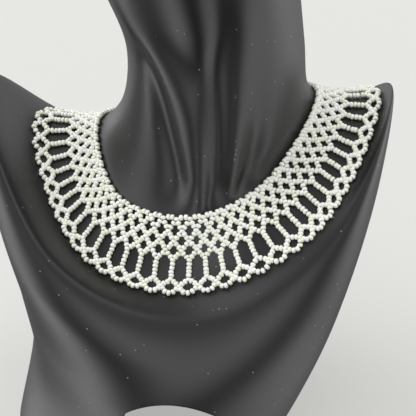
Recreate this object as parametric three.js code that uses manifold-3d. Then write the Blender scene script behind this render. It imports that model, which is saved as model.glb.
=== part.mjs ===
// Bib necklace of netted white seed beads, lying on a plain black neck bust.
// Millimetres, Z up, the bust's front faces -Y and the viewer's right is +X. The origin is on the table
// under the middle of the whole thing; the tables below are drawn from the middle of the collar's loop.
import * as THREE from "three";
import Module from "manifold-3d";

const wasm = await Module();
wasm.setup();

// Driving sizes
const HEIGHT = 265; // table to the cut top of the neck
const REACH = 100; // the loop's middle to the collar's outer edge at the sides
const BEAD_DIAMETER = 2.6;
const SEAT = 0.4; // the bust's skin to the underside of the net
const NET_THICKNESS = BEAD_DIAMETER - 0.1;
const BAND = 40; // inner row of knots to the bottom of the hanging loops, along the skin
const SKIN_BAND = 40; // how much of the skin lies between the tables' rings for those two rows
const UNITS = 60; // repeats of the net in the full loop
const CLASP_UNITS = 2; // repeats left out at the nape for the clasp
const TURN = -0.32; // how far the middle column stands left of the bust's front, in repeats
const ARCH_WIDTH = 82;
const ARCH_HEIGHT = 59;
const ARCH_CROWN = 40; // the rounded part of the arch's height
const ARCH_X = -5;
const CLASP_DIAMETER = 4;
const CLASP_CLEARANCE = 0.5; // each end of the clasp to the net's end
const CLASP_LIFT = 0.8; // the bust's skin to the clasp's underside

// How far the net has slid round the bust, in repeats, at sixteen places round the loop from the front.
const SLIDE = [0.2, -0.1, 0.1, 0.3, -0.05, -0.8, -0.15, 0, 0, 0, 0.05, 0.2, -0.15, -0.3, -0.55, -0.2];

// The bust's skin: closed rings from the neck's top down to the base. x and y move a ring's middle and out is
// its reach from there, as shares of REACH; up is its height as a share of HEIGHT. The eight stations go
// round from the front: front, front right, right, back right, back, back left, left, front left.
const RINGS = [
  {
    name: "neck top", x: -0.03, y: -0.06,
    out: [0.54, 0.55, 0.54, 0.53, 0.52, 0.54, 0.56, 0.56],
    up: [0.989, 0.989, 0.989, 0.989, 0.989, 0.989, 0.989, 0.989],
  },
  {
    name: "neck middle", x: 0.04, y: -0.03,
    out: [0.5, 0.5, 0.51, 0.51, 0.5, 0.5, 0.49, 0.49],
    up: [0.83, 0.838, 0.853, 0.868, 0.875, 0.861, 0.842, 0.834],
  },
  {
    name: "neck foot", x: 0.04, y: -0.02,
    out: [0.56, 0.51, 0.54, 0.48, 0.51, 0.52, 0.54, 0.54],
    up: [0.626, 0.672, 0.754, 0.79, 0.785, 0.748, 0.711, 0.649],
  },
  {
    name: "collar inner row", x: 0, y: 0,
    out: [0.67, 0.545, 0.631, 0.54, 0.57, 0.57, 0.643, 0.637],
    up: [0.542, 0.59, 0.733, 0.715, 0.7, 0.652, 0.658, 0.55],
  },
  {
    name: "collar middle", x: 0, y: 0,
    out: [0.731, 0.76, 0.802, 0.745, 0.75, 0.783, 0.818, 0.776],
    up: [0.462, 0.553, 0.72, 0.682, 0.655, 0.61, 0.648, 0.496],
  },
  {
    name: "collar outer edge", x: 0, y: 0,
    out: [0.813, 0.941, 0.988, 0.976, 0.915, 0.974, 1.025, 0.914],
    up: [0.4, 0.521, 0.728, 0.662, 0.61, 0.585, 0.658, 0.453],
  },
  {
    name: "shoulder top", x: 0, y: -0.03,
    out: [0.95, 1.026, 1.05, 1.055, 0.98, 1.119, 1.312, 1.128],
    up: [0.363, 0.491, 0.755, 0.64, 0.56, 0.53, 0.764, 0.48],
  },
  {
    name: "shoulder tip", x: -0.02, y: -0.06,
    out: [1.05, 1.08, 1.048, 1.071, 0.99, 1.195, 1.282, 1.174],
    up: [0.295, 0.411, 0.641, 0.536, 0.468, 0.491, 0.657, 0.416],
  },
  {
    name: "chest", x: -0.12, y: -0.1,
    out: [1.1, 1.092, 1.016, 1, 0.92, 1.085, 1.04, 0.989],
    up: [0.196, 0.264, 0.457, 0.366, 0.321, 0.332, 0.438, 0.253],
  },
  {
    name: "ribs", x: -0.16, y: -0.12,
    out: [1.08, 0.96, 0.886, 0.863, 0.83, 0.924, 0.879, 0.918],
    up: [0.083, 0.12, 0.263, 0.208, 0.182, 0.188, 0.242, 0.106],
  },
  {
    name: "base", x: -0.27, y: -0.13,
    out: [1.05, 0.895, 0.781, 0.783, 0.74, 0.799, 0.855, 0.945],
    up: [0.0075, 0.0075, 0.0075, 0.0075, 0.0075, 0.0075, 0.0075, 0.0075],
  },
];
const INNER_RING = 3;
const OUTER_RING = 5;

// Soft forms of the neck, at seven places from its top down to the collar's inner row. Angle and spread are
// degrees, the angle from the front towards the viewer's right; rise is how far the form stands out of the
// skin, as a share of REACH, and is negative in a hollow.
const RELIEF = [
  {
    name: "left tendon",
    angle: [-45, -41, -24, -8, -4, -2.5, 1],
    spread: [12, 11, 9, 7, 6, 5, 5],
    rise: [0.03, 0.035, 0.045, 0.05, 0.05, 0.03, 0],
  },
  {
    name: "throat",
    angle: [17, 14.5, 9, 9, 10.5, 13, 15],
    spread: [8, 7, 6, 5, 5, 5, 5],
    rise: [-0.035, -0.04, -0.045, -0.045, -0.045, -0.045, -0.03],
  },
  {
    name: "right tendon",
    angle: [30, 27, 22, 19, 17, 20, 22],
    spread: [9, 9, 8, 7, 6, 5, 5],
    rise: [0, 0.01, 0.02, 0.03, 0.03, 0.015, 0],
  },
  {
    name: "jaw hollow",
    angle: [-18, -18, -18, -18, -18, -18, -18],
    spread: [13, 13, 13, 13, 13, 13, 13],
    rise: [-0.025, -0.025, -0.01, 0, 0, 0, 0],
  },
  {
    name: "left hollow",
    angle: [-42, -40, -36, -27, -16, -12, -10],
    spread: [6, 6, 6, 7, 8, 9, 9],
    rise: [0, 0, -0.015, -0.03, -0.035, -0.025, 0],
  },
  {
    name: "right hollow",
    angle: [34, 34, 34, 34, 32, 31, 30],
    spread: [7, 7, 7, 7, 7, 7, 7],
    rise: [0, 0, 0, -0.01, -0.03, -0.03, 0],
  },
];

function ringCurve(ring) {
  const points = ring.out.map((out, i) => {
    const angle = (i * Math.PI) / 4;
    return new THREE.Vector3(
      REACH * (ring.x + out * Math.sin(angle)),
      REACH * (ring.y - out * Math.cos(angle)),
      HEIGHT * ring.up[i],
    );
  });
  return new THREE.CatmullRomCurve3(points, true, "catmullrom", 0.5);
}

const ringCurves = RINGS.map(ringCurve);

// The bare skin at round (0 to 1 from the front) and down (ring number, with fractions).
function plainSkin(round, down) {
  const turn = ((round % 1) + 1) % 1;
  const line = new THREE.CatmullRomCurve3(ringCurves.map((curve) => curve.getPoint(turn)));
  return line.getPoint(THREE.MathUtils.clamp(down / (RINGS.length - 1), 0, 1));
}

function skinNormal(round, down) {
  const step = 0.02;
  const across = plainSkin(round + 0.004, down).sub(plainSkin(round - 0.004, down));
  const along = plainSkin(round, down + step).sub(plainSkin(round, down - step));
  return along.cross(across).normalize();
}

// A smooth curve through a column of numbers, read at a share of its length.
function smooth(column, share, closed = false) {
  const points = column.map((value) => new THREE.Vector3(value, 0, 0));
  return new THREE.CatmullRomCurve3(points, closed, "catmullrom", 0.5).getPoint(share).x;
}

// How far the neck's forms stand out of the bare skin, mm. They fade out just under the collar's inner row.
function formRise(round, down) {
  const share = down / INNER_RING;
  if (share > 1.08) return 0;
  const fade = 1 - THREE.MathUtils.smoothstep(share, 0.98, 1.08);
  const angle = (((round + 0.5) % 1) - 0.5) * 360;
  let rise = 0;
  for (const form of RELIEF) {
    const place = Math.min(share, 1);
    const off = (angle - smooth(form.angle, place)) / smooth(form.spread, place);
    rise += smooth(form.rise, place) * Math.exp(-off * off);
  }
  return REACH * rise * fade;
}

function bustSkin(round, down) {
  return plainSkin(round, down).addScaledVector(skinNormal(round, down), formRise(round, down));
}

// Where the net lies: it rides over the neck's ridges and bridges its hollows.
function netSkin(round, down, lift) {
  const rise = Math.max(formRise(round, down), 0);
  return plainSkin(round, down).addScaledVector(skinNormal(round, down), rise + lift);
}

function meshGeometry(vertices, faces) {
  const geometry = new THREE.BufferGeometry();
  const flat = vertices.flatMap((v) => [v.x, v.y, v.z]);
  geometry.setAttribute("position", new THREE.Float32BufferAttribute(flat, 3));
  geometry.setIndex(faces.flat());
  return geometry;
}

function toManifold(geometry) {
  const indexed = geometry.index ? geometry : mergedCopy(geometry);
  return new wasm.Manifold(
    new wasm.Mesh({
      numProp: 3,
      vertProperties: new Float32Array(indexed.attributes.position.array),
      triVerts: new Uint32Array(indexed.index.array),
    }),
  );
}

// A copy of a geometry in which equal corners are one vertex.
function mergedCopy(geometry) {
  const position = geometry.attributes.position;
  const seen = new Map();
  const vertices = [];
  const faces = [];
  for (let i = 0; i < position.count; i += 3) {
    const face = [];
    for (let j = i; j < i + 3; j++) {
      const v = new THREE.Vector3().fromBufferAttribute(position, j);
      const key = v.toArray().map((n) => n.toFixed(4)).join();
      if (!seen.has(key)) {
        seen.set(key, vertices.length);
        vertices.push(v);
      }
      face.push(seen.get(key));
    }
    if (new Set(face).size === 3) faces.push(face);
  }
  return meshGeometry(vertices, faces);
}

function fromManifold(solid) {
  const mesh = solid.getMesh();
  const geometry = new THREE.BufferGeometry();
  geometry.setAttribute("position", new THREE.BufferAttribute(mesh.vertProperties, 3));
  geometry.setIndex(new THREE.BufferAttribute(mesh.triVerts, 1));
  return geometry;
}

// Neck bust: a plain solid body with a rounded rim at the neck's top, a flat base and an arch through it.
const AROUND = 80;
const FINE_ROWS = 20; // as far as the collar's outer edge
const COARSE_ROWS = 15; // from there to the base

function bustBody() {
  const rows = FINE_ROWS + COARSE_ROWS + 1;
  const downAt = (row) => {
    if (row <= FINE_ROWS) return (OUTER_RING * row) / FINE_ROWS;
    return OUTER_RING + ((RINGS.length - 1 - OUTER_RING) * (row - FINE_ROWS)) / COARSE_ROWS;
  };
  const vertices = [];
  const faces = [];
  const addRow = (place) => {
    for (let i = 0; i < AROUND; i++) vertices.push(place(i / AROUND));
  };
  const ringMiddle = (ring, z) => new THREE.Vector3(REACH * ring.x, REACH * ring.y, z);
  const topMiddle = ringMiddle(RINGS[0], HEIGHT);
  const baseMiddle = ringMiddle(RINGS.at(-1), 0);
  const inset = (round, down, middle, share, z) => {
    const p = plainSkin(round, down);
    return new THREE.Vector3().lerpVectors(middle, p, share).setZ(z);
  };
  addRow((r) => inset(r, 0, topMiddle, 0.945, HEIGHT));
  addRow((r) => inset(r, 0, topMiddle, 0.98, HEIGHT * 0.9975));
  for (let row = 0; row < rows; row++) addRow((r) => bustSkin(r, downAt(row)));
  addRow((r) => inset(r, RINGS.length - 1, baseMiddle, 0.98, 0));
  const count = rows + 3;
  for (let row = 0; row < count - 1; row++) {
    for (let i = 0; i < AROUND; i++) {
      const a = row * AROUND + i;
      const b = row * AROUND + ((i + 1) % AROUND);
      faces.push([a, a + AROUND, b], [b, a + AROUND, b + AROUND]);
    }
  }
  const top = vertices.push(topMiddle) - 1;
  const bottom = vertices.push(baseMiddle) - 1;
  for (let i = 0; i < AROUND; i++) {
    const next = (i + 1) % AROUND;
    const last = (count - 1) * AROUND;
    faces.push([top, i, next], [bottom, last + next, last + i]);
  }
  return meshGeometry(vertices, faces);
}

function archCutter() {
  const half = ARCH_WIDTH / 2;
  const spring = ARCH_HEIGHT - ARCH_CROWN;
  const below = -half;
  const shape = new THREE.Shape();
  shape.moveTo(-half, below);
  shape.lineTo(half, below);
  shape.lineTo(half, spring);
  shape.absellipse(0, spring, half, ARCH_CROWN, 0, Math.PI, false);
  shape.lineTo(-half, below);
  const depth = 4 * REACH;
  const geometry = new THREE.ExtrudeGeometry(shape, { depth, bevelEnabled: false, curveSegments: 24 });
  geometry.rotateX(Math.PI / 2);
  geometry.translate(ARCH_X, depth / 2, 0);
  return geometry;
}

const bust = toManifold(bustBody()).subtract(toManifold(archCutter()));

// Beaded net: one flat pattern laid round the loop. Repeat k has its five-bead column on whole numbers and a
// long gap between columns; a small gap stands under each column, inside the hanging loop.
const LAST_COLUMN = Math.floor((UNITS - CLASP_UNITS) / 2);
const FIRST_COLUMN = -LAST_COLUMN;
const LOOP_STEPS = 720;
const innerLoop = ringCurves[INNER_RING].getPoints(LOOP_STEPS);
const outerLoop = ringCurves[OUTER_RING].getPoints(LOOP_STEPS);
const innerLengths = [0];
for (let i = 1; i <= LOOP_STEPS; i++) {
  innerLengths.push(innerLengths[i - 1] + innerLoop[i].distanceTo(innerLoop[i - 1]));
}
const LOOP_LENGTH = innerLengths[LOOP_STEPS];

// Where repeat number s stands on the inner row, as a share of the way round.
function innerShare(s) {
  const slid = s + TURN + smooth(SLIDE, (s / UNITS + 1) % 1, true);
  const wanted = ((slid / UNITS + 1) % 1) * LOOP_LENGTH;
  const i = Math.max(1, innerLengths.findIndex((length) => length >= wanted));
  const part = (wanted - innerLengths[i - 1]) / (innerLengths[i] - innerLengths[i - 1]);
  return (i - 1 + part) / LOOP_STEPS;
}

// The outer edge's share straight out from there, square to the inner row in plan.
function outerShare(share) {
  const curve = ringCurves[INNER_RING];
  const from = curve.getPoint(share);
  const ahead = curve.getPoint((share + 0.014) % 1);
  const behind = curve.getPoint((share + 0.986) % 1);
  const out = new THREE.Vector2(ahead.y - behind.y, behind.x - ahead.x).normalize();
  const side = (p) => (p.x - from.x) * out.y - (p.y - from.y) * out.x;
  const outward = (p) => (p.x - from.x) * out.x + (p.y - from.y) * out.y;
  for (let i = 0; i < LOOP_STEPS; i++) {
    const a = side(outerLoop[i]);
    const b = side(outerLoop[i + 1]);
    if (a * b <= 0 && a !== b && outward(outerLoop[i]) > 0) return (i + a / (a - b)) / LOOP_STEPS;
  }
  return share;
}

// A point of the net: s in repeats from the front column, across out from the inner row of knots as a share
// of BAND, and lift in mm off the skin.
const shares = new Map();

function netPoint(s, across, lift) {
  if (!shares.has(s)) {
    const inner = innerShare(s);
    const outer = outerShare(inner);
    shares.set(s, [inner, ((outer - inner + 1.5) % 1) - 0.5]);
  }
  const [inner, drift] = shares.get(s);
  const down = INNER_RING + ((OUTER_RING - INNER_RING) * across * BAND) / SKIN_BAND;
  return netSkin(inner + drift * across + 1, down, lift);
}

// Half a repeat, from a column's middle (0) to the middle of the next long gap (0.5): corners as
// [repeats, share of BAND across], then faces between them.
const CORNERS = {
  a0: [0, -0.085], a1: [0.25, -0.085], a2: [0.5, -0.085],
  b0: [0, 0.05], b1: [0.25, 0.05], b2: [0.5, 0.05],
  c0: [0, 0.2], c1: [0.25, 0.2], c2: [0.5, 0.2],
  d0: [0, 0.34], d1: [0.25, 0.34], d2: [0.5, 0.34],
  neckTop: [0, 0.45], gapTop: [0.5, 0.44],
  shoulder: [0.14, 0.557], columnTop: [0, 0.557],
  waist: [0.14, 0.65], columnWaist: [0, 0.65],
  hip: [0.14, 0.735], columnFoot: [0, 0.735],
  gapFoot: [0.5, 0.825], loopTop: [0, 0.81],
  loopSide: [0.27, 0.88], knotFoot: [0.5, 0.898],
  loopOut: [0.3, 0.968], loopInside: [0, 0.945], loopFoot: [0, 1.01],
};
const FACES = [
  "a0 a1 b1", "a0 b1 b0", "a1 a2 b2", "a1 b2 b1",
  "b0 b1 c1", "b0 c1 c0", "b1 b2 c2", "b1 c2 c1",
  "c0 c1 d1", "c0 d1 d0", "c1 c2 d2", "c1 d2 d1",
  "d0 d1 neckTop", "d1 shoulder neckTop", "d1 gapTop shoulder", "d1 d2 gapTop",
  "neckTop shoulder columnTop",
  "columnTop shoulder waist", "columnTop waist columnWaist",
  "columnWaist waist hip", "columnWaist hip columnFoot",
  "columnFoot hip loopTop", "hip gapFoot loopSide", "hip loopSide loopTop",
  "gapFoot knotFoot loopSide",
  "loopSide knotFoot loopOut", "loopSide loopOut loopFoot", "loopSide loopFoot loopInside",
];
// The last half columns have no gap beside them, so their loop is filled.
const END_FACES = ["loopTop loopSide loopInside"];

function netGeometry() {
  const index = new Map();
  const vertices = [];
  const faces = [];
  const place = (s, across) => {
    const key = s.toFixed(3) + "," + across;
    if (!index.has(key)) {
      index.set(key, vertices.length);
      vertices.push(netPoint(s, across, SEAT), netPoint(s, across, SEAT + NET_THICKNESS));
    }
    return index.get(key);
  };
  for (let column = FIRST_COLUMN; column <= LAST_COLUMN; column++) {
    for (const side of [-1, 1]) {
      if (column === FIRST_COLUMN && side < 0) continue;
      if (column === LAST_COLUMN && side > 0) continue;
      const end = column === FIRST_COLUMN || column === LAST_COLUMN;
      for (const face of end ? FACES.concat(END_FACES) : FACES) {
        const ids = face.split(" ").map((name) => {
          const [s, across] = CORNERS[name];
          return place(column + side * s, across);
        });
        faces.push(side > 0 ? ids : ids.reverse());
      }
    }
  }
  // Underside, top and the walls along every edge that has one face only.
  const shell = [];
  const edges = new Map();
  for (const [a, b, c] of faces) {
    shell.push([a, b, c], [c + 1, b + 1, a + 1]);
    for (const [p, q] of [[a, b], [b, c], [c, a]]) {
      edges.set(p + ">" + q, [p, q]);
    }
  }
  for (const [key, [p, q]] of edges) {
    if (edges.has(q + ">" + p)) continue;
    shell.push([q, p, p + 1], [q, p + 1, q + 1]);
  }
  return meshGeometry(vertices, shell);
}

// Clasp: one plain barrel that lies across the net's two ends at the nape.
function claspGeometry() {
  const radius = CLASP_DIAMETER / 2;
  const lift = CLASP_LIFT + radius;
  const taper = radius / 2;
  const oneEnd = netPoint(LAST_COLUMN, 0.01, lift);
  const otherEnd = netPoint(FIRST_COLUMN + UNITS, 0.01, lift);
  const half = oneEnd.distanceTo(otherEnd) / 2 - CLASP_CLEARANCE;
  const outline = [
    new THREE.Vector2(0, -half),
    new THREE.Vector2(radius * 0.55, -half),
    new THREE.Vector2(radius, -half + taper),
    new THREE.Vector2(radius, half - taper),
    new THREE.Vector2(radius * 0.55, half),
    new THREE.Vector2(0, half),
  ];
  const geometry = new THREE.LatheGeometry(outline, 28);
  const middle = oneEnd.clone().lerp(otherEnd, 0.5);
  const along = otherEnd.clone().sub(oneEnd).normalize();
  const turn = new THREE.Quaternion().setFromUnitVectors(new THREE.Vector3(0, 1, 0), along);
  geometry.applyQuaternion(turn);
  geometry.translate(middle.x, middle.y, middle.z);
  return geometry;
}

const group = new THREE.Group();

function add(name, geometry, color) {
  const mesh = new THREE.Mesh(geometry, new THREE.MeshStandardMaterial({ color }));
  mesh.name = name;
  group.add(mesh);
}

add("neck_bust", fromManifold(bust), 0x1b1a1b);
add("bead_net", netGeometry(), 0xf1efe6);
add("clasp", claspGeometry(), 0xc9c9c6);

const middle = new THREE.Box3().setFromObject(group).getCenter(new THREE.Vector3());
group.position.set(-middle.x, -middle.y, 0);

export default group;
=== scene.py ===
import math
import random

import bpy
import numpy as np
from mathutils import Matrix, Quaternion, Vector


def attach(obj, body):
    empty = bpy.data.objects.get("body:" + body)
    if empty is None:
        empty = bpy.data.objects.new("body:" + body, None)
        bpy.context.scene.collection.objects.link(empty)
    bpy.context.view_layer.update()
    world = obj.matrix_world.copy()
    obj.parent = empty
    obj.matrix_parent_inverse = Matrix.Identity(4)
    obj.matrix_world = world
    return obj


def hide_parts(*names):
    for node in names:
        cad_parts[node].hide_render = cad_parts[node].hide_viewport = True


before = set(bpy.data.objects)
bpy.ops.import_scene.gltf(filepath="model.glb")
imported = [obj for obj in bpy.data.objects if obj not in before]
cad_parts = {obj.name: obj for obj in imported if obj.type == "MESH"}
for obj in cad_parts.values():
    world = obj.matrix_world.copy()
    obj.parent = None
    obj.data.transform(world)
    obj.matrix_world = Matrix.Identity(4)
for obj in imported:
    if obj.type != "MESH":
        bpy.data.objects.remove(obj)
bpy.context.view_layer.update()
view_layer = bpy.context.view_layer
MM = 0.001

# Camera
# It stands a little to the right of the bust's front and looks down on the collar by 22 degrees, with a
# portrait lens. Its frame is square.
camera_data = bpy.data.cameras.new("camera")
camera_data.sensor_width = 36.0
camera_data.lens = 95.18
camera = bpy.data.objects.new("camera", camera_data)
bpy.context.scene.collection.objects.link(camera)
camera.location = Vector((86.78, -595.42, 367.1)) * MM
camera_back = Vector((0.1104, -0.9223, 0.3705))
camera.rotation_euler = camera_back.to_track_quat("Z", "Y").to_euler()
bpy.context.scene.camera = camera

# Neck bust
# A hollow shell of black plastic moulded in one piece, polished to a soft shine: a neck without a head, two
# sloping shoulders and a chest that narrows to a flat foot with an arch through it. It stands by itself.
HEIGHT = 265.0
REACH = 100.0
CENTRE = np.array([13.5395, 11.5812, 0.0])
RINGS = (
    ("neck top", -0.03, -0.06,
     (0.54, 0.55, 0.54, 0.53, 0.52, 0.54, 0.56, 0.56),
     (0.989, 0.989, 0.989, 0.989, 0.989, 0.989, 0.989, 0.989)),
    ("neck middle", 0.04, -0.03,
     (0.5, 0.5, 0.51, 0.51, 0.5, 0.5, 0.49, 0.49),
     (0.83, 0.838, 0.853, 0.868, 0.875, 0.861, 0.842, 0.834)),
    ("neck foot", 0.04, -0.02,
     (0.56, 0.51, 0.54, 0.48, 0.51, 0.52, 0.54, 0.54),
     (0.626, 0.672, 0.754, 0.79, 0.785, 0.748, 0.711, 0.649)),
    ("collar inner row", 0.0, 0.0,
     (0.67, 0.545, 0.631, 0.54, 0.57, 0.57, 0.643, 0.637),
     (0.542, 0.59, 0.733, 0.715, 0.7, 0.652, 0.658, 0.55)),
    ("collar middle", 0.0, 0.0,
     (0.731, 0.76, 0.802, 0.745, 0.75, 0.783, 0.818, 0.776),
     (0.462, 0.553, 0.72, 0.682, 0.655, 0.61, 0.648, 0.496)),
    ("collar outer edge", 0.0, 0.0,
     (0.813, 0.941, 0.988, 0.976, 0.915, 0.974, 1.025, 0.914),
     (0.4, 0.521, 0.728, 0.662, 0.61, 0.585, 0.658, 0.453)),
    ("shoulder top", 0.0, -0.03,
     (0.95, 1.026, 1.05, 1.055, 0.98, 1.119, 1.312, 1.128),
     (0.363, 0.491, 0.755, 0.64, 0.56, 0.53, 0.764, 0.48)),
    ("shoulder tip", -0.02, -0.06,
     (1.05, 1.08, 1.048, 1.071, 0.99, 1.195, 1.282, 1.174),
     (0.295, 0.411, 0.641, 0.536, 0.468, 0.491, 0.657, 0.416)),
    ("chest", -0.12, -0.1,
     (1.1, 1.092, 1.016, 1.0, 0.92, 1.085, 1.04, 0.989),
     (0.196, 0.264, 0.457, 0.366, 0.321, 0.332, 0.438, 0.253)),
    ("ribs", -0.16, -0.12,
     (1.08, 0.96, 0.886, 0.863, 0.83, 0.924, 0.879, 0.918),
     (0.083, 0.12, 0.263, 0.208, 0.182, 0.188, 0.242, 0.106)),
    ("base", -0.27, -0.13,
     (1.05, 0.895, 0.781, 0.783, 0.74, 0.799, 0.855, 0.945),
     (0.0075, 0.0075, 0.0075, 0.0075, 0.0075, 0.0075, 0.0075, 0.0075)),
)
INNER_RING = 3
OUTER_RING = 5
# The neck's forms, at seven places from its top down to the collar's inner row: angle and spread in degrees,
# and rise as a share of REACH. The tendons are ridges, on which the net rides. It bridges the hollows.
RELIEF = (
    ("left tendon",
     (-45, -41, -24, -8, -4, -2.5, 1), (14, 14, 13, 12, 10, 8, 8),
     (0.022, 0.026, 0.033, 0.036, 0.036, 0.02, 0)),
    ("throat",
     (17, 14.5, 9, 9, 10.5, 13, 15), (9, 8, 7, 6, 6, 6, 6),
     (-0.03, -0.03, -0.035, -0.035, -0.035, -0.035, -0.03)),
    ("right tendon",
     (30, 27, 22, 19, 17, 20, 22), (10, 10, 9, 8, 7, 6, 6), (0, 0.008, 0.015, 0.022, 0.022, 0.012, 0)),
    ("jaw hollow",
     (-18, -18, -18, -18, -18, -18, -18), (13, 13, 13, 13, 13, 13, 13), (-0.025, -0.025, -0.01, 0, 0, 0, 0)),
    ("left hollow",
     (-42, -40, -36, -27, -16, -12, -10), (6, 6, 6, 7, 8, 9, 9), (0, 0, -0.015, -0.03, -0.035, -0.025, 0)),
    ("right hollow",
     (34, 34, 34, 34, 32, 31, 30), (7, 7, 7, 7, 7, 7, 7), (0, 0, 0, -0.01, -0.03, -0.03, 0)),
)
# A narrow fold that is on the bust alone
FOLDS = (
    ("crease beside the tendon",
     (0, 0, 0, 1, 5, 8, 10), (4, 4, 4, 4, 3.5, 3.5, 3.5), (0, 0, 0, -0.005, -0.012, -0.015, -0.01)),
)
ARCH_WIDTH = 82.0
ARCH_HEIGHT = 59.0
ARCH_CROWN = 40.0
ARCH_X = -5.0
BUST_AROUND = 224
BUST_DOWN = 176
FRONT_CROWDING = 0.1  # brings the mesh's upright lines closer together at the front
RIM_ROWS = 5
FOOT_ROWS = 3
# How far the rim and the foot's edge draw in, as shares of their radius, and how high they stand, of HEIGHT
RIM_DRAWN_IN = 0.055
FOOT_DRAWN_IN = 0.02
RIM_HEIGHT = 0.011
FOOT_HEIGHT = 0.0075
EDGE_ROUND = 0.8


def unit(vectors):
    return vectors / np.maximum(np.linalg.norm(vectors, axis=-1, keepdims=True), 1e-9)


def on_ring(number, turn):
    """Points of one ring of the skin, in millimetres from the collar's middle, at turns from 0 to 1."""
    _, middle_x, middle_y, out, up = RINGS[number]
    angle = np.arange(8) * math.pi / 4
    out, up = np.array(out), np.array(up)
    stations = np.stack([REACH * (middle_x + out * np.sin(angle)),
                         REACH * (middle_y - out * np.cos(angle)),
                         HEIGHT * up], 1)
    place = (np.asarray(turn, float) % 1.0) * 8
    first = np.floor(place).astype(int)
    part = (place - first)[:, None]
    before, here, there, after = (stations[(first + step) % 8] for step in (-1, 0, 1, 2))
    return hermite(here, there, (there - before) / 2, (after - here) / 2, part)


def hermite(here, there, leaving, arriving, part):
    square, cube = part ** 2, part ** 3
    return ((2 * cube - 3 * square + 1) * here + (cube - 2 * square + part) * leaving
            + (3 * square - 2 * cube) * there + (cube - square) * arriving)


def plain_skin(turn, down):
    """The bare skin at turns round from the front and at ring numbers down, with fractions."""
    turn, down = np.broadcast_arrays(np.asarray(turn, float), np.asarray(down, float))
    rings = np.stack([on_ring(number, turn) for number in range(len(RINGS))])
    down = np.clip(down, 0, len(RINGS) - 1)
    first = np.minimum(np.floor(down).astype(int), len(RINGS) - 2)
    part = (down - first)[:, None]
    every = np.arange(len(turn))
    here, there = rings[first, every], rings[first + 1, every]
    above, below = (first > 0)[:, None], (first < len(RINGS) - 2)[:, None]
    before = np.where(above, rings[np.maximum(first - 1, 0), every], 2 * here - there)
    after = np.where(below, rings[np.minimum(first + 2, len(RINGS) - 1), every], 2 * there - here)

    def root(a, b):
        return np.sqrt(np.maximum(np.linalg.norm(b - a, axis=1, keepdims=True), 1e-6))

    one, two, three = root(before, here), root(here, there), root(there, after)
    leaving = two * ((here - before) / one - (there - before) / (one + two) + (there - here) / two)
    arriving = two * ((there - here) / two - (after - here) / (two + three) + (after - there) / three)
    return hermite(here, there, leaving, arriving, part)


def skin_normal(turn, down):
    across = plain_skin(turn + 0.004, down) - plain_skin(turn - 0.004, down)
    along = plain_skin(turn, down + 0.02) - plain_skin(turn, down - 0.02)
    return unit(np.cross(along, across))


def smooth(column, share):
    """A smooth curve through seven numbers, read at shares of its length."""
    column = np.array((column[0], *column, column[-1]), float)
    place = np.clip(share, 0, 1) * (len(column) - 3)
    first = np.minimum(np.floor(place).astype(int), len(column) - 4)
    before, here, there, after = (column[first + step] for step in range(4))
    before = np.where(first == 0, 2 * here - there, before)
    after = np.where(first == len(column) - 4, 2 * there - here, after)
    return hermite(here, there, (there - before) / 2, (after - here) / 2, place - first)


def form_rise(turn, down, forms):
    share = down / INNER_RING
    fade = np.clip((share - 0.98) / 0.1, 0, 1)
    angle = ((turn + 0.5) % 1.0 - 0.5) * 360
    rise = np.zeros_like(turn)
    for _, angles, spreads, rises in forms:
        off = (angle - smooth(angles, share)) / smooth(spreads, share)
        rise += smooth(rises, share) * np.exp(-off * off)
    return REACH * rise * (1 - fade * fade * (3 - 2 * fade))


def skin(turn, down, lift=0.0, bare=False):
    """The skin and its outward normal. With lift it is where the net lies, over ridges and across hollows."""
    turn, down = np.broadcast_arrays(np.asarray(turn, float), np.asarray(down, float))
    normal = skin_normal(turn, down)
    if bare:
        raised = form_rise(turn, down, RELIEF) + form_rise(turn, down, FOLDS)
    else:
        raised = np.maximum(form_rise(turn, down, RELIEF), 0) + lift
    return plain_skin(turn, down) + normal * raised[:, None], normal


def deselect():
    for obj in bpy.context.selected_objects:
        obj.select_set(False)


def take(obj):
    """Makes obj the one selected and active object."""
    deselect()
    obj.select_set(True)
    view_layer.objects.active = obj


def place_points(obj, points):
    """Sets a mesh's corners from places in millimetres, measured from the collar's middle."""
    obj.data.vertices.foreach_set("co", ((points + CENTRE) * MM).astype(np.float32).ravel())
    obj.data.update()


deselect()
bpy.ops.mesh.primitive_grid_add(x_subdivisions=BUST_AROUND, y_subdivisions=BUST_DOWN, size=2)
bust = bpy.context.active_object
bust.name = bust.data.name = "black_bust"
flat = np.array([v.co for v in bust.data.vertices])
turns = (flat[:, 0] + 1) / 2
turns -= FRONT_CROWDING * np.sin(turns * 2 * math.pi)
rows = (1 - flat[:, 1]) / 2 * BUST_DOWN
body_rows = BUST_DOWN - RIM_ROWS - FOOT_ROWS
down = np.clip((rows - RIM_ROWS) / body_rows, 0, 1) * (len(RINGS) - 1)
points, _ = skin(turns, down, bare=True)
top_middle = np.array([REACH * RINGS[0][1], REACH * RINGS[0][2], 0])
foot_middle = np.array([REACH * RINGS[-1][1], REACH * RINGS[-1][2], 0])
rim = np.clip(1 - rows / RIM_ROWS, 0, 1) * math.pi / 2
foot = np.clip((rows - BUST_DOWN + FOOT_ROWS) / FOOT_ROWS, 0, 1) * math.pi / 2
drawn_in = RIM_DRAWN_IN * (1 - np.cos(rim)) + FOOT_DRAWN_IN * (1 - np.cos(foot))
middles = np.where((rows < BUST_DOWN / 2)[:, None], top_middle, foot_middle)
points[:, :2] += (middles[:, :2] - points[:, :2]) * drawn_in[:, None]
points[:, 2] += RIM_HEIGHT * HEIGHT * np.sin(rim) - FOOT_HEIGHT * HEIGHT * np.sin(foot)
place_points(bust, points)

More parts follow.
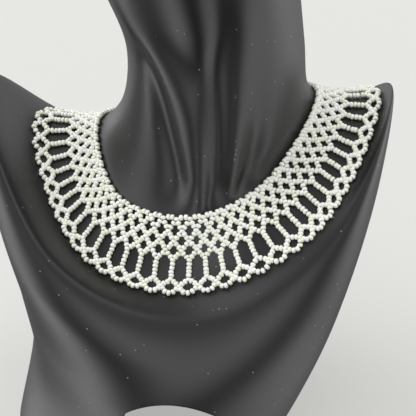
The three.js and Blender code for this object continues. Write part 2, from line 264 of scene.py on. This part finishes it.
take(bust)
bpy.ops.object.mode_set(mode="EDIT")
bpy.ops.mesh.select_all(action="SELECT")
bpy.ops.mesh.remove_doubles(threshold=0.00001)
bpy.ops.mesh.select_all(action="DESELECT")
bpy.ops.mesh.select_mode(type="EDGE")
bpy.ops.mesh.select_non_manifold()
bpy.ops.mesh.fill_holes(sides=0)
bpy.ops.mesh.select_all(action="SELECT")
bpy.ops.mesh.normals_make_consistent(inside=False)
bpy.ops.object.mode_set(mode="OBJECT")

deselect()
arch_half = ARCH_WIDTH / 2
bpy.ops.mesh.primitive_cylinder_add(
    vertices=96, radius=arch_half * MM, depth=4 * REACH * MM, rotation=(math.pi / 2, 0, 0))
arch = bpy.context.active_object
bpy.ops.object.transform_apply(location=True, rotation=True, scale=True)
for vertex in arch.data.vertices:
    if vertex.co.z < -1e-6:
        vertex.co.z -= ARCH_WIDTH * MM
    else:
        vertex.co.z *= ARCH_CROWN / arch_half
    vertex.co += (Vector((ARCH_X, 0, ARCH_HEIGHT - ARCH_CROWN)) + Vector(CENTRE)) * MM
take(bust)
cut = bust.modifiers.new("arch", "BOOLEAN")
cut.operation = "DIFFERENCE"
cut.solver = "EXACT"
cut.object = arch
bpy.ops.object.modifier_apply(modifier=cut.name)
bpy.data.objects.remove(arch)
edge = bust.modifiers.new("eased edge", "BEVEL")
edge.width = EDGE_ROUND * MM
edge.segments = 2
edge.limit_method = "ANGLE"
edge.angle_limit = math.radians(50)
bpy.ops.object.modifier_apply(modifier=edge.name)
bpy.ops.object.shade_smooth_by_angle(angle=math.radians(40))


def new_material(name):
    material = bpy.data.materials.new(name)
    material.use_nodes = True
    nodes, links = material.node_tree.nodes, material.node_tree.links
    return material, nodes, links, nodes["Principled BSDF"]


def add_node(nodes, kind, **settings):
    node = nodes.new(kind)
    for key, value in settings.items():
        setattr(node, key, value)
    return node


def group_with(name, inputs, outputs):
    """An empty shader node group with named number inputs and outputs."""
    tree = bpy.data.node_groups.new(name, "ShaderNodeTree")
    for label, value in inputs:
        socket = tree.interface.new_socket(label, in_out="INPUT", socket_type="NodeSocketFloat")
        socket.default_value = value
    for label in outputs:
        tree.interface.new_socket(label, in_out="OUTPUT", socket_type="NodeSocketFloat")
    return tree, tree.nodes.new("NodeGroupInput"), tree.nodes.new("NodeGroupOutput")


# Dust: small pale specks that lie thinly on a dark surface
dust, dust_in, dust_out = group_with(
    "dust specks", (("Cells per metre", 260.0), ("Speck", 0.075), ("Share", 0.3)), ("Mask",))
dust_place = add_node(dust.nodes, "ShaderNodeTexCoord")
dust_cells = add_node(dust.nodes, "ShaderNodeTexVoronoi", feature="F1")
dust_size = add_node(dust.nodes, "ShaderNodeMath", operation="LESS_THAN")
dust_split = add_node(dust.nodes, "ShaderNodeSeparateColor")
dust_some = add_node(dust.nodes, "ShaderNodeMath", operation="LESS_THAN")
dust_both = add_node(dust.nodes, "ShaderNodeMath", operation="MULTIPLY")
dust.links.new(dust_place.outputs["Object"], dust_cells.inputs["Vector"])
dust.links.new(dust_in.outputs["Cells per metre"], dust_cells.inputs["Scale"])
dust.links.new(dust_cells.outputs["Distance"], dust_size.inputs[0])
dust.links.new(dust_in.outputs["Speck"], dust_size.inputs[1])
dust.links.new(dust_cells.outputs["Color"], dust_split.inputs["Color"])
dust.links.new(dust_split.outputs["Red"], dust_some.inputs[0])
dust.links.new(dust_in.outputs["Share"], dust_some.inputs[1])
dust.links.new(dust_size.outputs[0], dust_both.inputs[0])
dust.links.new(dust_some.outputs[0], dust_both.inputs[1])
dust.links.new(dust_both.outputs[0], dust_out.inputs["Mask"])

black_plastic, nodes, links, shader = new_material("satin black plastic")
shader.inputs["IOR"].default_value = 1.5
shader.inputs["Specular IOR Level"].default_value = 0.9
place = add_node(nodes, "ShaderNodeTexCoord")
clouds = add_node(nodes, "ShaderNodeTexNoise")
clouds.inputs["Scale"].default_value = 14.0
clouds.inputs["Detail"].default_value = 4.0
rough = add_node(nodes, "ShaderNodeMapRange")
rough.inputs["To Min"].default_value = 0.36
rough.inputs["To Max"].default_value = 0.42
grain = add_node(nodes, "ShaderNodeTexNoise")
grain.inputs["Scale"].default_value = 1400.0
bump = add_node(nodes, "ShaderNodeBump")
bump.inputs["Strength"].default_value = 0.06
bump.inputs["Distance"].default_value = 0.0002
specks = add_node(nodes, "ShaderNodeGroup", node_tree=dust)
tint = add_node(nodes, "ShaderNodeMix", data_type="RGBA")
tint.inputs["A"].default_value = (0.0045, 0.0036, 0.0038, 1)
tint.inputs["B"].default_value = (0.35, 0.34, 0.33, 1)
links.new(place.outputs["Object"], clouds.inputs["Vector"])
links.new(place.outputs["Object"], grain.inputs["Vector"])
links.new(clouds.outputs["Fac"], rough.inputs["Value"])
links.new(rough.outputs["Result"], shader.inputs["Roughness"])
links.new(grain.outputs["Fac"], bump.inputs["Height"])
links.new(bump.outputs["Normal"], shader.inputs["Normal"])
links.new(specks.outputs["Mask"], tint.inputs["Factor"])
links.new(tint.outputs["Result"], shader.inputs["Base Color"])
bust.data.materials.clear()
bust.data.materials.append(black_plastic)
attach(bust, "root")
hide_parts("neck_bust")

# Seed beads
# The collar is netted from some 2,200 small glass beads, creamy white with a pearl lustre. They are strung on
# one fine thread in a pattern that repeats 58 times round the neck and widens as it goes out.
BEAD_DIAMETER = 3.25
BEAD_LENGTH = 2.2
BEAD_LIFT = 1.7
BAND = 40.0
UNITS = 60
LAST_COLUMN = 29
TURN = -0.32
SLIDE = (0.2, -0.1, 0.1, 0.3, -0.05, -0.8, -0.15, 0, 0, 0, 0.05, 0.2, -0.15, -0.3, -0.55, -0.2)
LOOP_STEPS = 1440

loop_turns = np.arange(LOOP_STEPS + 1) / LOOP_STEPS
inner_loop = on_ring(INNER_RING, loop_turns)
outer_loop = on_ring(OUTER_RING, loop_turns)
loop_lengths = np.concatenate([[0], np.cumsum(np.linalg.norm(np.diff(inner_loop, axis=0), axis=1))])


def drift_at(repeat):
    """Where a repeat starts on the inner row, and how far round it drifts on its way to the outer edge."""
    place = (repeat / UNITS % 1.0) * len(SLIDE)
    first = math.floor(place)
    before, at, then, after = (SLIDE[(first + step) % len(SLIDE)] for step in (-1, 0, 1, 2))
    slid = repeat + TURN + hermite(at, then, (then - before) / 2, (after - at) / 2, place - first)
    start = np.interp((slid / UNITS) % 1.0, loop_lengths / loop_lengths[-1], loop_turns)
    here, ahead, behind = on_ring(INNER_RING, [start, start + 0.014, start - 0.014])[:, :2]
    out = unit(np.array([ahead[1] - behind[1], behind[0] - ahead[0]]))
    side = (outer_loop[:, 0] - here[0]) * out[1] - (outer_loop[:, 1] - here[1]) * out[0]
    ahead_of = (outer_loop[:, 0] - here[0]) * out[0] + (outer_loop[:, 1] - here[1]) * out[1]
    crossings = np.nonzero((side[:-1] * side[1:] <= 0) & (side[:-1] != side[1:]) & (ahead_of[:-1] > 0))[0]
    step = crossings[0]
    end = (step + side[step] / (side[step] - side[step + 1])) / LOOP_STEPS
    return start, (end - start + 0.5) % 1.0 - 0.5


DRIFT_STEP = 0.125
drift_repeats = np.arange(-LAST_COLUMN - 1, LAST_COLUMN + 3 + DRIFT_STEP / 2, DRIFT_STEP)
drift_starts, drift_ways = np.array([drift_at(repeat) for repeat in drift_repeats]).T
drift_starts = np.unwrap(drift_starts * 2 * math.pi) / (2 * math.pi)


def laid(repeats, across, lift):
    """Points of the net, in millimetres, and the skin's normal there. across is out from the inner knots."""
    repeats, across = np.asarray(repeats, float), np.asarray(across, float)
    start = np.interp(repeats, drift_repeats, drift_starts)
    way = np.interp(repeats, drift_repeats, drift_ways)
    share = across / BAND
    return skin(start + way * share, INNER_RING + (OUTER_RING - INNER_RING) * share, lift)


# Rows of the pattern, in millimetres out from the inner row of knots
KNOTS = (0.0, 5.6, 10.5, 15.1)
COLUMN = (20.2, 22.4, 24.6, 26.8, 29.0, 31.2)
OUTER_KNOT = 35.4
PICOT = ((0.33, -0.7), (0.67, -0.7))
LOOP = ((-0.39, 37.4), (-0.23, 39.3), (0.0, 40.1), (0.23, 39.3), (0.39, 37.4))


def between(start, end, count):
    """count places evenly between two knots, the knots left out."""
    return [tuple(a + (b - a) * (i + 1) / (count + 1) for a, b in zip(start, end)) for i in range(count)]


def repeat_strands(column):
    """The strands of one repeat, each a list of (repeat, across) places of beads from knot to knot."""
    inner, outer, edging = [], [], []
    knot = [(column, KNOTS[0]), (column + 0.5, KNOTS[1]), (column, KNOTS[2]), (column + 0.5, KNOTS[3])]
    top = (column, COLUMN[0])
    last = column == LAST_COLUMN
    first = column == -LAST_COLUMN
    if not last:
        picot = [(column + s, across) for s, across in PICOT]
        inner.append([knot[0], *picot, (column + 1, KNOTS[0])])
    for start, end, rows in ((knot[0], 1, inner), (knot[2], 1, inner), (knot[2], 3, outer), (top, 3, outer)):
        for side in (-0.5, 0.5):
            if (last and side > 0) or (first and side < 0):
                continue
            target = (column + side, KNOTS[end])
            rows.append([start, *between(start, target, 2), target])
    if last or first:
        inner.append([knot[0], *between(knot[0], knot[2], 4), knot[2]])
        outer.append([knot[2], *between(knot[2], top, 4), top])
    edging.append([(column, across) for across in COLUMN])
    foot = (column, COLUMN[-1])
    for side in (-0.5, 0.5):
        if (last and side > 0) or (first and side < 0):
            continue
        target = (column + side, OUTER_KNOT)
        edging.append([foot, *between(foot, target, 2), target])
    if not (last or first):
        loop = [(column + s, across) for s, across in LOOP]
        edging.append([(column - 0.5, OUTER_KNOT), *loop, (column + 0.5, OUTER_KNOT)])
    return inner, outer, edging


inner_strands, outer_strands, edging_strands = [], [], []
for column in range(-LAST_COLUMN, LAST_COLUMN + 1):
    inner, outer, edging = repeat_strands(column)
    inner_strands += inner
    outer_strands += outer
    edging_strands += edging

deselect()
# Half a bead's outline from its widest to its hole, as shares of BEAD_DIAMETER and BEAD_LENGTH
OUTLINE = ((0.5, 0.0), (0.44, 0.33), (0.27, 0.5), (0.13, 0.43))
outline = OUTLINE + tuple((wide, -high) for wide, high in OUTLINE[:0:-1])
bpy.ops.mesh.primitive_torus_add(
    major_radius=0.8 * MM, minor_radius=0.5 * MM, major_segments=12, minor_segments=len(outline))
bead = bpy.context.active_object
bead_corners = np.array([v.co for v in bead.data.vertices])
bead_corners[:, :2] = unit(bead_corners[:, :2])
bead_corners *= np.tile([(wide * BEAD_DIAMETER * MM,) * 2 + (0,) for wide, _ in outline], (12, 1))
bead_corners[:, 2] = np.tile([high * BEAD_LENGTH * MM for _, high in outline], 12)
bead_faces = np.array([p.vertices[:] for p in bead.data.polygons])
bpy.data.objects.remove(bead)

BEAD_TILT = 0.16
BEAD_SHIFT = (0.12, 0.12, 0.08)
WIDTH_SPREAD = 0.025
LENGTH_SPREAD = 0.04
chance = random.Random(7)
strung = set()


def string_beads(name, chains):
    """One joined mesh of beads along the strands; a bead where strands meet is placed once."""
    seen = {}
    for chain in chains:
        for i, place_here in enumerate(chain):
            key = (round(place_here[0], 3), round(place_here[1], 2))
            inside = 0 < i < len(chain) - 1 or len(chain) == len(COLUMN)
            ahead, behind = chain[min(i + 1, len(chain) - 1)], chain[max(i - 1, 0)]
            if inside:
                seen[key] = (behind, ahead)
            else:
                seen.setdefault(key, None)
    keys = [key for key in seen if key not in strung]
    strung.update(keys)
    repeats, across = np.array(keys).T
    centres, normals = laid(repeats, across, BEAD_LIFT)
    behind = [seen[key][0] if seen[key] else (key[0], key[1] - 1) for key in keys]
    ahead = [seen[key][1] if seen[key] else (key[0], key[1] + 1) for key in keys]
    axis = unit(laid(*np.array(ahead).T, BEAD_LIFT)[0] - laid(*np.array(behind).T, BEAD_LIFT)[0])
    corners = np.zeros((len(keys), len(bead_corners), 3))
    tones = np.zeros((len(keys), 4))
    for i in range(len(keys)):
        z = Vector(axis[i])
        x = Vector(normals[i]).cross(z).normalized()
        turned = Matrix((x, z.cross(x), z)).transposed()
        tilt = Quaternion((chance.uniform(-1, 1), chance.uniform(-1, 1), 0), chance.gauss(0, BEAD_TILT))
        spin = Quaternion((0, 0, 1), chance.uniform(0, math.tau))
        wide = chance.gauss(1, WIDTH_SPREAD)
        long = chance.gauss(1, LENGTH_SPREAD)
        matrix = turned @ tilt.to_matrix() @ spin.to_matrix() @ Matrix.Diagonal((wide, wide, long))
        shift = np.array([chance.gauss(0, spread) for spread in BEAD_SHIFT])
        corners[i] = bead_corners @ np.array(matrix).T + (centres[i] + CENTRE + shift) * MM
        tones[i] = [chance.random(), chance.random(), chance.random(), 1]
    data = bpy.data.meshes.new(name)
    count = len(bead_corners)
    faces = (bead_faces[None] + np.arange(len(keys))[:, None, None] * count).reshape(-1, 4)
    data.from_pydata(corners.reshape(-1, 3), [], faces)
    data.polygons.foreach_set("use_smooth", np.ones(len(faces), bool))
    tone = data.attributes.new("bead_tone", "FLOAT_COLOR", "POINT")
    tone.data.foreach_set("color", np.repeat(tones, count, axis=0).astype(np.float32).ravel())
    obj = bpy.data.objects.new(name, data)
    bpy.context.scene.collection.objects.link(obj)
    print(name, len(keys), "beads", len(faces) * 2, "triangles")
    return obj


mesh_beads = string_beads("mesh_beads", inner_strands)
lower_mesh_beads = string_beads("lower_mesh_beads", outer_strands)
edging_beads = string_beads("edging_beads", edging_strands)

pearl_glass, nodes, links, shader = new_material("pearl white glass")
shader.inputs["IOR"].default_value = 1.55
shader.inputs["Coat Weight"].default_value = 1.0
shader.inputs["Coat Roughness"].default_value = 0.08
shader.inputs["Coat IOR"].default_value = 1.6
shader.inputs["Subsurface Weight"].default_value = 0.25
shader.inputs["Subsurface Radius"].default_value = (0.0012, 0.0011, 0.0009)
shader.inputs["Subsurface Scale"].default_value = 1.0
tone = add_node(nodes, "ShaderNodeAttribute", attribute_name="bead_tone")
split = add_node(nodes, "ShaderNodeSeparateColor")
ramp = add_node(nodes, "ShaderNodeValToRGB")
ramp.color_ramp.elements[0].color = (0.88, 0.88, 0.74, 1)
ramp.color_ramp.elements[1].color = (0.93, 0.95, 0.9, 1)
middle = ramp.color_ramp.elements.new(0.5)
middle.color = (0.91, 0.92, 0.83, 1)
gloss = add_node(nodes, "ShaderNodeMapRange")
gloss.inputs["To Min"].default_value = 0.15
gloss.inputs["To Max"].default_value = 0.3
links.new(tone.outputs["Color"], split.inputs["Color"])
links.new(split.outputs["Red"], ramp.inputs["Fac"])
links.new(ramp.outputs["Color"], shader.inputs["Base Color"])
links.new(split.outputs["Green"], gloss.inputs["Value"])
links.new(gloss.outputs["Result"], shader.inputs["Roughness"])
for piece in (mesh_beads, lower_mesh_beads, edging_beads):
    piece.data.materials.append(pearl_glass)
    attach(piece, "root")
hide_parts("bead_net")

# Thread
# Fine white beading thread runs through every bead and shows where the beads part.
THREAD_RADIUS = 0.16
thread_curve = bpy.data.curves.new("thread", "CURVE")
thread_curve.dimensions = "3D"
thread_curve.bevel_depth = THREAD_RADIUS * MM
thread_curve.bevel_resolution = 1
for chain in inner_strands + outer_strands + edging_strands:
    line, _ = laid(*np.array(chain).T, BEAD_LIFT)
    spline = thread_curve.splines.new("POLY")
    spline.points.add(len(line) - 1)
    for point, at in zip(spline.points, line):
        point.co = (*((at + CENTRE) * MM), 1)
thread = bpy.data.objects.new("thread", thread_curve)
bpy.context.scene.collection.objects.link(thread)
take(thread)
bpy.ops.object.convert(target="MESH")
thread = bpy.context.active_object
thread_white, nodes, links, shader = new_material("white nylon thread")
shader.inputs["Base Color"].default_value = (0.78, 0.77, 0.7, 1)
shader.inputs["Roughness"].default_value = 0.55
thread.data.materials.clear()
thread.data.materials.append(thread_white)
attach(thread, "root")

# Clasp
# A small barrel of bright plated metal closes the collar at the nape. Its two halves screw together in the
# middle, and the thread's ends are tied to a ring at each end.
CLASP_RADIUS = 2.0
CLASP_LIFT = 2.8
CLASP_CLEARANCE = 0.5
END_RING_RADIUS = 0.7
END_RING_WIRE = 0.22
END_RING_OUT = 0.35
# Place from the middle as a share of half the length, and radius as a share of CLASP_RADIUS
BARREL = ((0, 0.86), (0.03, 0.86), (0.05, 0.97), (0.09, 1.0), (0.16, 1.0), (0.18, 0.95), (0.21, 0.95),
          (0.23, 1.0), (0.7, 1.0), (0.8, 0.96), (0.9, 0.82), (0.97, 0.64), (1.0, 0.55))
barrel = tuple((-place, wide) for place, wide in BARREL[:0:-1]) + BARREL
ends, _ = laid([LAST_COLUMN, UNITS - LAST_COLUMN], [0.4, 0.4], CLASP_LIFT)
half = np.linalg.norm(ends[1] - ends[0]) / 2 - CLASP_CLEARANCE
along = unit(ends[1] - ends[0])
middle = ends.mean(axis=0)
sideways = unit(np.cross(along, (0, 0, 1)))
upward = np.cross(along, sideways)
deselect()
bpy.ops.mesh.primitive_grid_add(x_subdivisions=40, y_subdivisions=len(barrel) - 1, size=2)
clasp = bpy.context.active_object
clasp.name = clasp.data.name = "barrel_clasp"
flat = np.array([v.co for v in clasp.data.vertices])
angle = (flat[:, 0] + 1) * math.pi
row = np.rint((flat[:, 1] + 1) / 2 * (len(barrel) - 1)).astype(int)
shift, wide = np.array(barrel)[row].T[:, :, None]
place_points(clasp, middle + along * shift * half
             + (sideways * np.cos(angle)[:, None] + upward * np.sin(angle)[:, None]) * wide * CLASP_RADIUS)
take(clasp)
bpy.ops.object.mode_set(mode="EDIT")
bpy.ops.mesh.select_all(action="SELECT")
bpy.ops.mesh.remove_doubles(threshold=0.00001)
bpy.ops.mesh.select_all(action="DESELECT")
bpy.ops.mesh.select_mode(type="EDGE")
bpy.ops.mesh.select_non_manifold()
bpy.ops.mesh.fill_holes(sides=0)
bpy.ops.mesh.select_all(action="SELECT")
bpy.ops.mesh.normals_make_consistent(inside=False)
bpy.ops.object.mode_set(mode="OBJECT")
bpy.ops.object.shade_smooth_by_angle(angle=math.radians(35))
rings = []
for side in (-1, 1):
    deselect()
    bpy.ops.mesh.primitive_torus_add(
        major_radius=END_RING_RADIUS * MM, minor_radius=END_RING_WIRE * MM,
        major_segments=24, minor_segments=10)
    ring = bpy.context.active_object
    ring_corners = np.array([v.co for v in ring.data.vertices]) / MM
    turned = np.stack([along, upward, sideways])
    place_points(ring, middle + along * side * (half + END_RING_OUT) + ring_corners @ turned)
    ring.data.polygons.foreach_set("use_smooth", np.ones(len(ring.data.polygons), bool))
    rings.append(ring)
take(clasp)
for ring in rings:
    ring.select_set(True)
bpy.ops.object.join()
plated, nodes, links, shader = new_material("bright plated metal")
shader.inputs["Base Color"].default_value = (0.72, 0.72, 0.7, 1)
shader.inputs["Metallic"].default_value = 1.0
place = add_node(nodes, "ShaderNodeTexCoord")
wear = add_node(nodes, "ShaderNodeTexNoise")
wear.inputs["Scale"].default_value = 900.0
polish = add_node(nodes, "ShaderNodeMapRange")
polish.inputs["To Min"].default_value = 0.14
polish.inputs["To Max"].default_value = 0.3
links.new(place.outputs["Object"], wear.inputs["Vector"])
links.new(wear.outputs["Fac"], polish.inputs["Value"])
links.new(polish.outputs["Result"], shader.inputs["Roughness"])
clasp.data.materials.clear()
clasp.data.materials.append(plated)
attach(clasp, "root")
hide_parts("clasp")

# Table and light
# A table in a bright studio, grey in itself and made pale by a painted glow: soft patches of light on the
# walls round it and one soft light overhead.
deselect()
bpy.ops.mesh.primitive_plane_add(size=8)
table = bpy.context.active_object
table.name = "table"
table_with_painted_glow, nodes, links, shader = new_material("table with painted glow")
shader.inputs["Base Color"].default_value = (0.26, 0.262, 0.25, 1)
shader.inputs["Roughness"].default_value = 0.9
# Painted light: the table glows though it is no lamp, so the shade under the arch and the bust's shadow on it
# come out bright.
shader.inputs["Emission Color"].default_value = (1.0, 1.0, 0.96, 1)
shader.inputs["Emission Strength"].default_value = 0.42
table.data.materials.append(table_with_painted_glow)

# One soft patch of light on the walls round the object
patch, patch_in, patch_out = group_with(
    "wall patch", (("Towards", 0.0), ("Tightness", 5.0), ("Amount", 1.0)), ("Light",))
patch_less = add_node(patch.nodes, "ShaderNodeMath", operation="SUBTRACT")
patch_less.inputs[1].default_value = 1.0
patch_tight = add_node(patch.nodes, "ShaderNodeMath", operation="MULTIPLY")
patch_power = add_node(patch.nodes, "ShaderNodeMath", operation="EXPONENT")
patch_amount = add_node(patch.nodes, "ShaderNodeMath", operation="MULTIPLY")
patch.links.new(patch_in.outputs["Towards"], patch_less.inputs[0])
patch.links.new(patch_less.outputs[0], patch_tight.inputs[0])
patch.links.new(patch_in.outputs["Tightness"], patch_tight.inputs[1])
patch.links.new(patch_tight.outputs[0], patch_power.inputs[0])
patch.links.new(patch_power.outputs[0], patch_amount.inputs[0])
patch.links.new(patch_in.outputs["Amount"], patch_amount.inputs[1])
patch.links.new(patch_amount.outputs[0], patch_out.inputs["Light"])

world = bpy.data.worlds.new("studio")
bpy.context.scene.world = world
world.use_nodes = True
nodes, links = world.node_tree.nodes, world.node_tree.links
background = nodes["Background"]
background.inputs["Color"].default_value = (0.98, 0.99, 1.0, 1)
look = add_node(nodes, "ShaderNodeTexCoord")
strength = 0.03
# Angle from the front towards the viewer's right, height above the floor, tightness and amount
for azimuth, height, tightness, amount in (
        (-105, 15, 8.0, 2.8), (108, 12, 8.0, 2.5), (160, 10, 6.0, 0.4), (-150, 15, 6.0, 0.5),
        (0, 23, 14.0, 1.8), (60, -28, 12.0, 1.4), (-72, -30, 12.0, 2.2), (100, -50, 8.0, 0.9),
        (92, 62, 12.0, 1.3), (-95, 55, 12.0, 1.1)):
    turn, rise = math.radians(azimuth), math.radians(height)
    towards = add_node(nodes, "ShaderNodeVectorMath", operation="DOT_PRODUCT")
    towards.inputs[1].default_value = (
        math.sin(turn) * math.cos(rise), -math.cos(turn) * math.cos(rise), math.sin(rise))
    soft = add_node(nodes, "ShaderNodeGroup", node_tree=patch)
    soft.inputs["Tightness"].default_value = tightness
    soft.inputs["Amount"].default_value = amount
    total = add_node(nodes, "ShaderNodeMath", operation="ADD")
    links.new(look.outputs["Generated"], towards.inputs[0])
    links.new(towards.outputs["Value"], soft.inputs["Towards"])
    links.new(soft.outputs["Light"], total.inputs[0])
    if isinstance(strength, float):
        total.inputs[1].default_value = strength
    else:
        links.new(strength, total.inputs[1])
    strength = total.outputs[0]
links.new(strength, background.inputs["Strength"])
table.visible_glossy = False

sun_data = bpy.data.lights.new("overhead", "SUN")
sun_data.energy = 1.75
sun_data.angle = math.radians(75)
sun = bpy.data.objects.new("overhead", sun_data)
bpy.context.scene.collection.objects.link(sun)
sun.rotation_euler = Vector((-0.35, -0.3, 1.0)).to_track_quat("Z", "Y").to_euler()
sun.visible_glossy = False
bpy.context.scene.view_settings.view_transform = "Standard"
